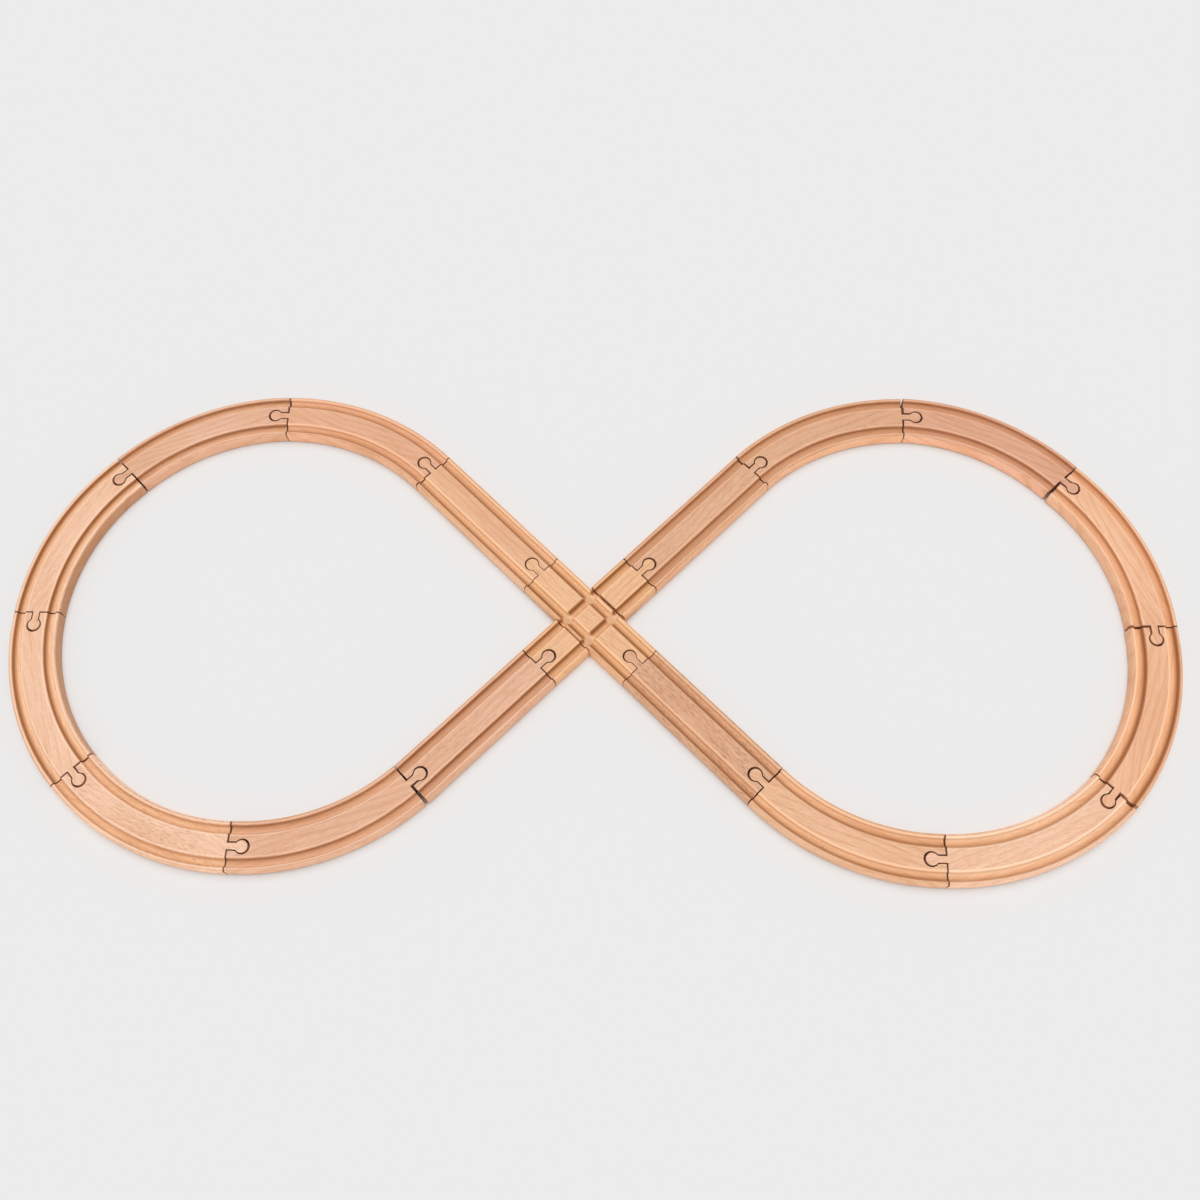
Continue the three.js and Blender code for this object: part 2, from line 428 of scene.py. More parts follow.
@dataclass
class TrackPiece:
    """One length of track: a section carried along a straight or an arc, with its ends."""

    name: str
    body: str
    place: Place
    section: Section
    length: float
    peg: np.ndarray
    socket: np.ndarray
    turn: Turn = Turn.STRAIGHT
    radius: float = 0.0
    start: End = End.SOCKET
    finish: End = End.PEG
    rows: int = 33
    bevel_width: float = 0.35
    bevel_steps: int = 3
    bevel_angle: float = 35.0

    def path(self, along: np.ndarray) -> tuple[np.ndarray, np.ndarray]:
        """Work out points and headings of the centre line.

        A straight runs along x. A curve is an arc about a centre one radius to its side: the
        heading grows with the distance over the radius.

        Args:
            along: Distances from the start.

        Returns:
            Points of shape (n, 2) and headings of shape (n,).
        """
        if self.turn is Turn.STRAIGHT:
            return np.column_stack([along, np.zeros_like(along)]), np.zeros_like(along)
        angle = along / self.radius
        side = self.turn.value * self.radius * (1.0 - np.cos(angle))
        return np.column_stack([self.radius * np.sin(angle), side]), self.turn.value * angle

    def stations(self) -> np.ndarray:
        """Return (distance along, height that the wood is cut down to) for each row of the skin."""
        along = np.linspace(0.0, self.length, self.rows)
        return np.column_stack([along, np.full(self.rows, self.section.height)])

    def skin(self) -> np.ndarray:
        """Carry the section along the path.

        Each point lies its distance from the middle along the path's left-hand normal, at its own
        height or at the height that the wood is cut down to there, whichever is lower.

        Returns:
            Array of shape (stations, profile points, 3).
        """
        profile, stations = self.section.profile(), self.stations()
        centre, heading = self.path(stations[:, 0])
        normal = np.column_stack([-np.sin(heading), np.cos(heading)])
        plan = centre[:, None, :] + profile[None, :, :1] * normal[:, None, :]
        height = np.minimum(profile[None, :, 1], stations[:, 1:])
        return np.concatenate([plan, height[..., None]], axis=2)

    def upright(self, plan: np.ndarray, at_finish: bool) -> np.ndarray:
        """Stand an outline upright at one end: row 0 on the table, row 1 at the top.

        Args:
            plan: Outline in (ahead, aside).
            at_finish: True at the far end, False at the start.

        Returns:
            Array of shape (2, n, 3).
        """
        centre, heading = self.path(np.array([self.length if at_finish else 0.0]))
        end = Place(centre[0, 0], centre[0, 1], heading[0])
        low = end.to_table(np.column_stack([plan, np.zeros(len(plan))]))
        return np.stack([low, low + np.array([0.0, 0.0, self.section.height])])

    def flat_stretches(self, count: int) -> list[slice]:
        """Return the runs of rows where the rib's flat top is one face."""
        return [slice(0, count)]

    def assemble(self) -> MeshParts:
        """Put the skin, the flat of the rib, the underside, the ends and their walls together.

        Returns:
            The collected points and faces, in the piece's own frame.
        """
        parts = MeshParts()
        skin = parts.add(self.skin())
        middle, last = skin.shape[1] // 2, len(skin)
        right, left = skin[:, :middle], skin[:, middle:]
        parts.quads(right)
        parts.quads(left)
        far = self.end_wall(parts, self.finish, True)
        near = self.end_wall(parts, self.start, False)
        for rows in self.flat_stretches(last):
            if rows.stop - rows.start == 2 and 0 < rows.start and rows.stop < last:
                parts.quads(skin[rows, middle - 1:middle + 1])
                continue
            ahead = far[1] if rows.stop == last else []
            behind = near[1][::-1] if rows.start == 0 else []
            parts.face(right[rows, -1], ahead, left[rows, 0][::-1], behind)
        parts.face(right[:, 0], far[0], left[::-1, -1], near[0][::-1])
        self.end_faces(parts, right[-1], left[-1], far)
        self.end_faces(parts, right[0], left[0], near)
        return parts

    def end_wall(self, parts: MeshParts, end: End, at_finish: bool) -> np.ndarray:
        """Add the upright wall of a peg or a socket.

        Args:
            parts: Collector of the piece.
            end: What the end holds.
            at_finish: True at the far end.

        Returns:
            Point numbers of the wall, right-hand root first, with no columns at a plain end.
        """
        if end is End.PLAIN:
            return np.zeros((2, 0), dtype=int)
        plan = self.peg if end is End.PEG else self.socket
        wall = parts.add(self.upright(plan, at_finish))
        parts.quads(wall, Grain.END)
        return wall

    @staticmethod
    def end_faces(parts: MeshParts, right: np.ndarray, left: np.ndarray, wall: np.ndarray) -> None:
        """Close an end: one face for a plain end, or one on each side of the peg or socket."""
        if wall.size == 0:
            parts.face(right, left, grain=Grain.END)
            return
        parts.face(right, wall[::-1, 0], grain=Grain.END)
        parts.face(left, wall[:, -1], grain=Grain.END)

    def build(self) -> bpy.types.Object:
        """Make the finished object, in metres, at the origin, with its edges eased."""
        piece = self.assemble().build(self.name, self.place, True)
        bevel = piece.modifiers.new("eased_edges", "BEVEL")
        bevel.width = self.bevel_width * MM
        bevel.segments = self.bevel_steps
        bevel.limit_method = "ANGLE"
        bevel.angle_limit = math.radians(self.bevel_angle)
        bevel.harden_normals = True
        # The bevels take the end-grain material, so those near the top carry its painted black shade, which
        # darkens the joint lines.
        bevel.material = Grain.END.value
        return piece

    def grain_angle(self) -> float:
        """Direction of the board's grain on the table: along the chord of the piece."""
        if self.turn is Turn.STRAIGHT:
            return self.place.heading
        return self.place.heading + self.turn.value * self.length / self.radius / 2


@dataclass
class CrossingBar(TrackPiece):
    """The crossing's through bar: a straight length with two wheel grooves cut across it."""

    def stations(self) -> np.ndarray:
        """Return the bar's ends and the two cross grooves, each row with its height."""
        groove = self.section.groove_profile()
        middle, top = self.length / 2, self.section.height
        first = np.column_stack([middle - groove[:, 0], groove[:, 1]])
        second = np.column_stack([middle + groove[::-1, 0], groove[::-1, 1]])
        return np.concatenate([[[0.0, top]], first, second, [[self.length, top]]])

    def flat_stretches(self, count: int) -> list[slice]:
        """Return the two ends of the bar as one face each, and the rows between them one by one."""
        between = [slice(row, row + 2) for row in range(1, count - 2)]
        return [slice(0, 2), *between, slice(count - 2, count)]


@dataclass
class Dowel:
    """A fluted glue dowel across one of the crossing's seams, in millimetres."""

    name: str
    centre: tuple[float, float, float]
    diameter: float = 5.0
    length: float = 24.0
    chamfer: float = 0.6
    flutes: int = 16
    flute_depth: float = 0.22
    points_per_flute: int = 6

    def build(self) -> bpy.types.Object:
        """Make the dowel: a circle whose radius waves with the angle, carried along y, with two chamfers.

        The radius is half the diameter, less the chamfer at both ends, less the depth of a flute
        times half of one minus the cosine of the angle times the number of flutes.

        Returns:
            The object, in metres, at the origin.
        """
        half, radius = self.length / 2, self.diameter / 2
        along = np.array([-half, self.chamfer - half, half - self.chamfer, half])
        outer = np.array([radius - self.chamfer, radius, radius, radius - self.chamfer])
        angle = np.linspace(0.0, 2.0 * math.pi, self.flutes * self.points_per_flute, endpoint=False)
        reach = outer[:, None] - self.flute_depth * (1.0 - np.cos(self.flutes * angle))[None, :] / 2
        length = np.broadcast_to(along[:, None], reach.shape)
        grid = np.stack([reach * np.cos(angle), length, reach * np.sin(angle)], axis=2)
        parts = MeshParts()
        numbers = parts.add(grid + np.array(self.centre))
        parts.quads(np.concatenate([numbers, numbers[:, :1]], axis=1))
        parts.face(numbers[0], grain=Grain.END)
        parts.face(numbers[-1][::-1], grain=Grain.END)
        return parts.build(self.name, Place(0.0, 0.0, 0.0), False)


def operators(operation: str) -> tuple[Callable[..., Signal], Callable[..., Signal]]:
    """Make an operator of signals that adds a Math node, and its reflected form."""

    def forward(self: Signal, other: Operand) -> Signal:
        """Return this signal with the other on its right."""
        return self.shader.math(operation, self, other)

    def reflected(self: Signal, other: Operand) -> Signal:
        """Return this signal with the other on its left."""
        return self.shader.math(operation, other, self)

    return forward, reflected


class Signal:
    """A shader socket that takes part in Python arithmetic."""

    def __init__(self, shader: Shader, socket: bpy.types.NodeSocket) -> None:
        """Wrap a socket of a shader."""
        self.shader = shader
        self.socket = socket

    __add__, __radd__ = operators("ADD")
    __sub__, __rsub__ = operators("SUBTRACT")
    __mul__, __rmul__ = operators("MULTIPLY")

    def __abs__(self) -> Signal:
        """Absolute value."""
        return self.shader.math("ABSOLUTE", self)


Operand = Union[Signal, float, int]


@dataclass(frozen=True)
class Pattern:
    """How finely a pattern changes along and across the grain, for each millimetre."""

    along: float
    across: float
    detail: float = 1.0
    roughness: float = 0.5


class Figure(Enum):
    """The patterns that the figure of the wood is drawn with."""

    CLOUD = Pattern(0.010, 0.035, 2.0)
    SWAY = Pattern(0.007, 0.02)
    STREAK = Pattern(0.03, 0.45, 3.0, 0.6)
    FIBRE = Pattern(0.07, 1.8, 2.0, 0.6)
    CROWD = Pattern(0.02, 0.06)
    MOTTLE = Pattern(0.1, 0.35, 2.0)
    DASH = Pattern(0.15, 2.1)
    SPECK = Pattern(0.014, 0.028)
    PORE = Pattern(0.5, 2.2)


class Shader:
    """The node tree of a material or of the world, built by expressions."""

    def __init__(self, owner: bpy.types.Material | bpy.types.World) -> None:
        """Start on the nodes that a new material or world has."""
        owner.use_nodes = True
        self.owner = owner
        self.tree = owner.node_tree

    def node(self, kind: str, settings: dict[str, Any] | None = None,
             inputs: dict[Any, Any] | None = None) -> bpy.types.Node:
        """Add a node.

        Args:
            kind: Node type.
            settings: Properties of the node, set first.
            inputs: Values or links by socket name or number.

        Returns:
            The node.
        """
        made = self.tree.nodes.new(kind)
        for key, value in (settings or {}).items():
            setattr(made, key, value)
        self.feed(made, inputs or {})
        return made

    def feed(self, node: bpy.types.Node, inputs: dict[Any, Any]) -> None:
        """Link signals to a node's sockets, or set plain values on them."""
        for key, value in inputs.items():
            if isinstance(value, Signal):
                self.tree.links.new(value.socket, node.inputs[key])
            else:
                node.inputs[key].default_value = value

    def out(self, node: bpy.types.Node, name: Any = 0) -> Signal:
        """Wrap one output of a node."""
        return Signal(self, node.outputs[name])

    def math(self, operation: str, first: Operand, second: Operand = 0.0) -> Signal:
        """Add a Math node."""
        return self.out(self.node("ShaderNodeMath", {"operation": operation}, {0: first, 1: second}))

    def smooth(self, value: Operand, low: float, high: float) -> Signal:
        """Rise smoothly from 0 at low to 1 at high; a high below low falls instead."""
        flip = low > high
        inputs = {"Value": value, "From Min": min(low, high), "From Max": max(low, high),
                  "To Min": 1.0 if flip else 0.0, "To Max": 0.0 if flip else 1.0}
        return self.out(self.node("ShaderNodeMapRange", {"interpolation_type": "SMOOTHSTEP"}, inputs))

    def vector(self, operation: str, first: Any, second: Any, output: str = "Vector") -> Signal:
        """Add a Vector Math node."""
        made = self.node("ShaderNodeVectorMath", {"operation": operation}, {0: first, 1: second})
        return self.out(made, output)

    def parts_of(self, vector: Signal) -> tuple[Signal, Signal, Signal]:
        """Split a vector into its three numbers."""
        split = self.node("ShaderNodeSeparateXYZ", None, {0: vector})
        return self.out(split, 0), self.out(split, 1), self.out(split, 2)

    def blend(self, share: Operand, first: Any, second: Any, kind: str = "MIX") -> Signal:
        """Mix two colours by a share."""
        settings = {"data_type": "RGBA", "blend_type": kind}
        inputs = {MIX_SHARE: share, MIX_FIRST: first, MIX_SECOND: second}
        return self.out(self.node("ShaderNodeMix", settings, inputs), MIX_RESULT)

    def seen(self) -> Signal:
        """Return 1 for what the camera sees, straight, mirrored or through glass, and else 0."""
        path = self.node("ShaderNodeLightPath")
        straight = self.out(path, "Is Camera Ray")
        return straight + self.out(path, "Is Glossy Ray") + self.out(path, "Is Transmission Ray")

    def show(self, share: Signal, first: Signal, second: Signal, output: str) -> None:
        """Mix two surfaces by a share and make the mixture what the named output node shows."""
        mixed = self.node("ShaderNodeMixShader", None, {0: share, 1: first, 2: second})
        self.feed(self.tree.nodes[output], {"Surface": self.out(mixed)})


def srgb(red: int, green: int, blue: int) -> Colour:
    """Turn a display colour of 0 to 255 into a linear one: each share is decoded by the sRGB curve."""
    share = np.array([red, green, blue]) / 255.0
    linear = np.where(share <= 0.04045, share / 12.92, ((share + 0.055) / 1.055) ** 2.4)
    return (float(linear[0]), float(linear[1]), float(linear[2]), 1.0)


@dataclass(frozen=True)
class BeechTone:
    """One board of beech: its mean colour, and how strongly its rings and flecks show."""

    mean: Colour
    rings: float = 0.3
    flecks: float = 0.4


class Board(Enum):
    """The boards that the pieces are cut from."""

    HONEY = BeechTone(srgb(231, 182, 145))
    COPPER = BeechTone(srgb(228, 175, 141))
    STRAW = BeechTone(srgb(233, 183, 140))
    TAN = BeechTone(srgb(220, 171, 136), flecks=0.6)
    SAND = BeechTone(srgb(242, 198, 168), rings=0.2)
    ROSE = BeechTone(srgb(227, 179, 149))
    BLUSH = BeechTone(srgb(223, 171, 142), rings=0.4)
    AMBER = BeechTone(srgb(238, 186, 150), flecks=0.3)


class Tint(Enum):
    """Colours in the wood, and painted shade, light and highlights on it, as shares of its board's mean red,
    green and blue.
    """

    EARLY_WOOD = (1.06, 1.09, 1.12)
    LATE_WOOD = (0.84, 0.70, 0.56)
    FLECK = (0.48, 0.34, 0.24)
    SPECK = (0.50, 0.34, 0.22)
    END_PORE = (0.56, 0.43, 0.32)
    END_WOOD = (0.78, 0.66, 0.54)
    # Painted shade, black, for the shadow in the joint gaps at the top of sawn ends and bevels.
    BLACK_PORE = (0.05, 0.03, 0.02)
    BLACK_WOOD = (0.11, 0.075, 0.05)
    # Painted shadow on the groove floors.
    BURNISH = (0.70, 0.52, 0.36)
    # Painted shadow on one wall of each groove and the floor beside it.
    DIRT = (0.42, 0.25, 0.10)
    # Painted light on the groove wall opposite the shadowed one.
    CLEAN_WALL = (1.22, 1.25, 1.20)
    SCUFF = (0.74, 0.78, 0.86)
    # Painted highlight along the edges of rib and rims.
    WORN_EDGE = (1.16, 1.20, 1.24)


class TintAndLight(Enum):
    """Scales of the colour beneath, as shares of its red, green and blue: a groove tint that is partly
    painted light, and painted light or shade on the sides.
    """

    # Partly the groove's own orange, partly painted light that lifts the groove's shade.
    GROOVE = (1.08, 1.0, 0.83)
    # Painted shade and painted light on the outer sides.
    DIM_SIDE = (0.74, 0.60, 0.46)
    EVEN_SIDE = (1.15, 1.15, 1.12)
    PALE_SIDE = (1.23, 1.26, 1.24)
    LIT_SIDE = (1.38, 1.38, 1.34)


class ShadowWalls(Enum):
    """Which walls of the grooves are painted in shadow: their sides, and whether the painted shadow lies
    over their edges.
    """

    LEFT = ((1.0,), False)
    LEFT_AND_EDGE = ((1.0,), True)
    RIGHT = ((-1.0,), False)
    BOTH = ((1.0, -1.0), False)

    @property
    def signs(self) -> tuple[float, ...]:
        """Side of each wall painted in shadow: 1 on the left and -1 on the right."""
        return self.value[0]

    @property
    def over_edge(self) -> bool:
        """True where the painted shadow lies over the wall's top edge too."""
        return self.value[1]


@dataclass(frozen=True)
class LightShadeAndScuff:
    """Where painted shadow, painted light, painted highlights and scuffs lie, in millimetres, and how strong
    they are.

    Spans run from none to full. Those of the painted shadow and of the painted lit walls are ways
    from a groove's middle towards the wall, the others are steps in from the groove's edge, the side or the
    top.
    """

    groove_inset: float = 0.4
    # Painted shadow on one wall: how it rises and fades across the groove.
    shadow_rise: Span = (-0.8, 2.6)
    wall_fade: Span = (4.2, 2.9)
    edge_fade: Span = (5.6, 3.8)
    # Painted light on the opposite wall: where it rises and fades, and how strong it is.
    lit_wall_rise: Span = (0.8, 2.6)
    lit_wall_fade: Span = (5.4, 4.2)
    lit_wall_share: float = 0.9
    # Where the sides take their painted light or shade.
    side_inset: Span = (1.2, 0.1)
    below_top: float = 0.2
    top_depth: float = 0.9
    floor_depth: float = 1.0
    # Painted highlights along the edges of rib and rims: where, how wide and how strong.
    rib_highlight: float = 1.7
    rim_highlight: float = 1.6
    edge_width: Span = (0.8, 0.1)
    highlight_share: float = 0.7
    scuff_share: float = 0.35


@dataclass(frozen=True)
class BeechFinish:
    """Sanded beech of one piece; lengths are in millimetres, and spans run from none to full."""

    board: Board
    seed: float
    flecks: float = 1.0
    # Share of painted shadow on the groove floors.
    floor_shadow: float = 0.3
    # Share of painted shadow on one wall of each groove.
    shadow_share: float = 0.55
    # Which groove walls take that painted shadow.
    walls: ShadowWalls = ShadowWalls.LEFT
    # Painted light or shade on the outer sides.
    side: TintAndLight = TintAndLight.EVEN_SIDE
    light_shade_and_scuff: LightShadeAndScuff = LightShadeAndScuff()
    seed_step: tuple[float, float, float] = (0.731, 0.177, 0.0013)
    roughness: float = 0.5
    end_roughness: float = 0.75
    roughness_swing: float = 0.16
    specular: float = 0.4
    bump_strength: float = 0.25
    bump_height: float = 0.2
    ring_pitch: float = 6.5
    ring_sway: float = 34.0
    ring_rise: Span = (0.2, 1.0)
    pith_depth: float = 30.0
    dash_rise: Span = (0.48, 0.14)
    crowd_rise: Span = (0.15, 0.5)
    speck_rise: Span = (0.04, 0.015)
    speck_share: float = 0.6
    cloud_weight: float = 0.36
    streak_weight: float = 0.38
    fibre_weight: float = 0.40
    ring_weight: float = 0.35
    late_rise: Span = (0.32, 0.86)
    fleck_relief: float = 0.6
    fibre_relief: float = 0.3
    mottle_weight: float = 0.6
    pore_weight: float = 0.5
    end_rise: Span = (0.2, 0.8)
    # Heights over which sawn ends turn to their painted black shade.
    gap_shade_rise: Span = (4.5, 8.2)

    def apply(self, target: bpy.types.Object, angle: float, piece: TrackPiece | None = None) -> None:
        """Put the two materials, long grain and end grain, on an object.

        Args:
            target: The object that is dressed.
            angle: Direction of the grain on the table.
            piece: The piece whose grooves get painted shade and light, or None where no wheel runs.
        """
        target.data.materials.clear()
        target.data.materials.append(BeechWood("beech_" + target.name, self, angle).long_grain(piece))
        target.data.materials.append(BeechWood("end_grain_" + target.name, self, angle).end_grain())


class BeechWood(Shader):
    """One material of a piece of beech."""

    def __init__(self, name: str, finish: BeechFinish, angle: float) -> None:
        """Start a material on the object's coordinates.

        The grain's coordinates are in millimetres, turned so that x runs along the grain, and moved
        by the seed.

        Args:
            name: Name of the material.
            finish: The finish that it shows.
            angle: Direction of the grain on the table.
        """
        super().__init__(bpy.data.materials.new(name))
        self.finish = finish
        self.spot = self.out(self.node("ShaderNodeTexCoord"), "Object")
        offset = tuple(finish.seed * step for step in finish.seed_step)
        inputs = {"Vector": self.spot, "Rotation": (0.0, 0.0, -angle), "Location": offset}
        turned = self.out(self.node("ShaderNodeMapping", {"vector_type": "POINT"}, inputs))
        self.grain = self.vector("MULTIPLY", turned, (PER_METRE, PER_METRE, PER_METRE))

    def tint(self, tint: Tint) -> Colour:
        """Return the board's mean colour with each channel times a share, and at most 1."""
        shares = zip(self.finish.board.value.mean, tint.value)
        return (*(min(1.0, level * share) for level, share in shares), 1.0)

    def stretched(self, figure: Figure) -> Signal:
        """Stretch the grain's coordinates as a pattern asks."""
        along, across = figure.value.along, figure.value.across
        return self.vector("MULTIPLY", self.grain, (along, across, across))

    def noise(self, figure: Figure) -> Signal:
        """Add a noise of a pattern and return its value."""
        inputs = {"Vector": self.stretched(figure), "Scale": 1.0,
                  "Detail": figure.value.detail, "Roughness": figure.value.roughness}
        return self.out(self.node("ShaderNodeTexNoise", None, inputs), "Fac")

    def cells(self, figure: Figure) -> Signal:
        """Add cells of a pattern and return the distance to each cell's own point."""
        inputs = {"Vector": self.stretched(figure), "Scale": 1.0}
        return self.out(self.node("ShaderNodeTexVoronoi", None, inputs), "Distance")

    def long_grain(self, piece: TrackPiece | None) -> bpy.types.Material:
        """Finish the material of the sanded faces, with painted shade, painted light, painted highlights and
        scuffs if they are a track's.
        """
        colour, relief = self.figure()
        if piece is not None:
            colour = self.paint_shade_light_and_scuffs(colour, piece)
        return self.surface(colour, relief, self.finish.roughness)

    def end_grain(self) -> bpy.types.Material:
        """Finish the material of sawn ends, peg and socket walls: full of pores, and painted black towards
        the top as the shade in the joint gaps.
        """
        finish = self.finish
        mottle = finish.mottle_weight * self.noise(Figure.MOTTLE)
        share = self.smooth(mottle + finish.pore_weight * self.cells(Figure.PORE), *finish.end_rise)
        height = self.parts_of(self.spot)[2] * PER_METRE
        unshadowed = self.blend(share, self.tint(Tint.END_PORE), self.tint(Tint.END_WOOD))
        # Painted shade: black towards the top, standing in for the shadow in the joint gaps.
        black = self.blend(share, self.tint(Tint.BLACK_PORE), self.tint(Tint.BLACK_WOOD))
        colour = self.blend(self.smooth(height, *finish.gap_shade_rise), unshadowed, black)
        return self.surface(colour, share, finish.end_roughness)

    def surface(self, colour: Signal, relief: Signal, roughness: float) -> bpy.types.Material:
        """Feed the colour, and the relief as bump and as a change of roughness, to the surface."""
        finish = self.finish
        bump = self.node("ShaderNodeBump", None, {
            "Strength": finish.bump_strength, "Distance": finish.bump_height * MM, "Height": relief})
        self.feed(self.tree.nodes["Principled BSDF"], {
            "Base Color": colour,
            "Roughness": roughness - finish.roughness_swing * (relief - 0.5),
            "Normal": self.out(bump, "Normal"),
            "Specular IOR Level": finish.specular,
        })
        return self.owner

    def figure(self) -> tuple[Signal, Signal]:
        """Work out the wood's figure.

        Growth rings are waves in the distance from a pith line below the board, bent by slow noise
        along the grain. Flecks are small cells stretched along the grain. Streaks and fibres are
        fine noise, stretched further.

        Returns:
            The colour and the relief, which is 1 on smooth wood and lower in flecks and pores.
        """
        finish, board = self.finish, self.finish.board.value
        fibre = self.noise(Figure.FIBRE)
        ring = self.rings() * board.rings
        fleck = self.flecking() * (board.flecks * finish.flecks)
        speck = self.smooth(self.cells(Figure.SPECK), *finish.speck_rise)
        share = finish.cloud_weight * self.noise(Figure.CLOUD)
        share = share + finish.streak_weight * self.noise(Figure.STREAK)
        share = share + finish.fibre_weight * fibre + finish.ring_weight * ring
        late = self.smooth(share, *finish.late_rise)
        colour = self.blend(late, self.tint(Tint.EARLY_WOOD), self.tint(Tint.LATE_WOOD))
        colour = self.blend(fleck, colour, self.tint(Tint.FLECK))
        colour = self.blend(speck * finish.speck_share, colour, self.tint(Tint.SPECK))
        return colour, 1.0 - finish.fleck_relief * fleck - finish.fibre_relief * fibre

    def rings(self) -> Signal:
        """Draw growth rings: a narrow dark line at each wave of the distance from the pith."""
        _, across, up = self.parts_of(self.grain)
        side = across + (self.noise(Figure.SWAY) - 0.5) * self.finish.ring_sway
        depth = up + self.finish.pith_depth
        distance = self.math("SQRT", side * side + depth * depth)
        wave = self.math("SINE", distance * (2.0 * math.pi / self.finish.ring_pitch))
        return self.smooth(wave, *self.finish.ring_rise)

    def flecking(self) -> Signal:
        """Draw short dark dashes along the grain, crowded in some places and rare in others."""
        dash = self.smooth(self.cells(Figure.DASH), *self.finish.dash_rise)
        return dash * self.smooth(self.noise(Figure.CROWD), *self.finish.crowd_rise)

    def across(self, piece: TrackPiece) -> Signal:
        """Work out how far a spot lies to the left of the piece's centre line, in millimetres.

        On a straight it is the side step from the line through the piece. On a curve it is the
        difference between the distance from the arc's centre and the radius.

        Args:
            piece: The piece.

        Returns:
            The distance, below zero on the right.
        """
        start = piece.place
        if piece.turn is Turn.STRAIGHT:
            normal = (-math.sin(start.heading), math.cos(start.heading), 0.0)
            offset = self.vector("SUBTRACT", self.spot, (start.x * MM, start.y * MM, 0.0))
            return self.vector("DOT_PRODUCT", offset, normal, "Value") * PER_METRE
        centre = start.turned(piece.turn.value * math.pi / 2).ahead(piece.radius)
        offset = self.vector("SUBTRACT", self.spot, (centre.x * MM, centre.y * MM, 0.0))
        flat = self.vector("MULTIPLY", offset, (PER_METRE, PER_METRE, 0.0))
        length = self.vector("LENGTH", flat, (0.0, 0.0, 0.0), "Value")
        return (length - piece.radius) * float(-piece.turn.value)

    def paint_shade_light_and_scuffs(self, colour: Signal, piece: TrackPiece) -> Signal:
        """Paint shade and light into the grooves and on the sides, and highlights on the edges of rib and
        rims.

        The whole groove gets a tint that is partly painted light, and its floor a painted shadow. One
        of its walls is painted in shadow: the painted shadow grows across the groove towards that wall
        and ends on its rounded top or a little past it, and the opposite wall is painted lit. Where the
        two pairs of grooves of the crossing's bar meet there are no walls, so there is no painted shadow
        and the wood is scuffed.

        Args:
            colour: Colour of the wood so far.
            piece: The piece.

        Returns:
            The finished colour.
        """
        finish, light_shade_and_scuff, section = self.finish, self.finish.light_shade_and_scuff, piece.section
        along, _, up = self.parts_of(self.spot)
        height = up * PER_METRE
        half = section.groove_width / 2
        middle = section.rib_half + half
        lines = [self.across(piece)]
        if isinstance(piece, CrossingBar):
            lines.append(along * -PER_METRE)
        limits = (half + section.groove_round, half + light_shade_and_scuff.groove_inset)
        grooves = [self.smooth(abs(abs(line) - middle), *limits) for line in lines]
        groove_shadows = [self.groove_shadow(line, middle) for line in lines]
        edges = [self.edge_highlights(abs(line), section) for line in lines]
        groove, groove_shadow, edge = grooves[0], groove_shadows[0], edges[0]
        if len(lines) == 2:
            groove = self.math("MAXIMUM", *grooves)
            groove_shadow = self.math("MAXIMUM", groove_shadows[0] * (1.0 - grooves[1]), groove_shadows[1] * (1.0 - grooves[0]))
            edge = self.math("MAXIMUM", *edges)
        brim = section.height - light_shade_and_scuff.below_top
        below = self.smooth(height, brim, section.height - section.groove_round) * groove
        # Partly painted light: the groove tint lifts the groove's shade, and also makes it more orange.
        colour = self.blend(below, colour, self.tinted_and_lit(colour, TintAndLight.GROOVE))
        # Painted shadow on the groove floors.
        colour = self.blend(below * finish.floor_shadow, colour, self.tint(Tint.BURNISH))
        walls = below
        if finish.walls.over_edge:
            walls = self.smooth(height, section.floor - light_shade_and_scuff.floor_depth, section.floor)
        # Painted light: the wall opposite the shadowed one is made lighter.
        pale = walls * self.unshadowed(lines[0], middle) * (light_shade_and_scuff.lit_wall_share * (1.0 - finish.floor_shadow))
        colour = self.blend(pale, colour, self.tint(Tint.CLEAN_WALL))
        # Painted shadow on one wall of each groove and the floor beside it.
        colour = self.blend(groove_shadow, colour, self.tint(Tint.DIRT))
        if len(lines) == 2:
            scuff = below * (grooves[0] * grooves[1]) * light_shade_and_scuff.scuff_share
            colour = self.blend(scuff, colour, self.tint(Tint.SCUFF))
        # Painted light or shade on the outer sides.
        side = self.smooth(abs(lines[0]), *(section.half_width - inset for inset in light_shade_and_scuff.side_inset))
        colour = self.blend(side, colour, self.tinted_and_lit(colour, finish.side))
        top = self.smooth(height, section.height - light_shade_and_scuff.top_depth, brim)
        # Painted highlights along the edges of rib and rims.
        highlight = edge * top * (1.0 - groove_shadow) * light_shade_and_scuff.highlight_share
        return self.blend(highlight, colour, self.tint(Tint.WORN_EDGE))

    def tinted_and_lit(self, colour: Signal, scaling: TintAndLight) -> Signal:
        """Return the colour times one of the scales of tint and painted light: each channel times its share.
        """
        return self.blend(1.0, colour, (*scaling.value, 1.0), "MULTIPLY")

    def edge_highlights(self, away: Signal, section: Section) -> Signal:
        """Return the narrow lines beside the grooves where the edges get a painted highlight."""
        light_shade_and_scuff = self.finish.light_shade_and_scuff
        rib = self.smooth(abs(away - (section.rib_half - light_shade_and_scuff.rib_highlight)), *light_shade_and_scuff.edge_width)
        rim = self.smooth(abs(away - (section.rim_inner + light_shade_and_scuff.rim_highlight)), *light_shade_and_scuff.edge_width)
        return rib + rim

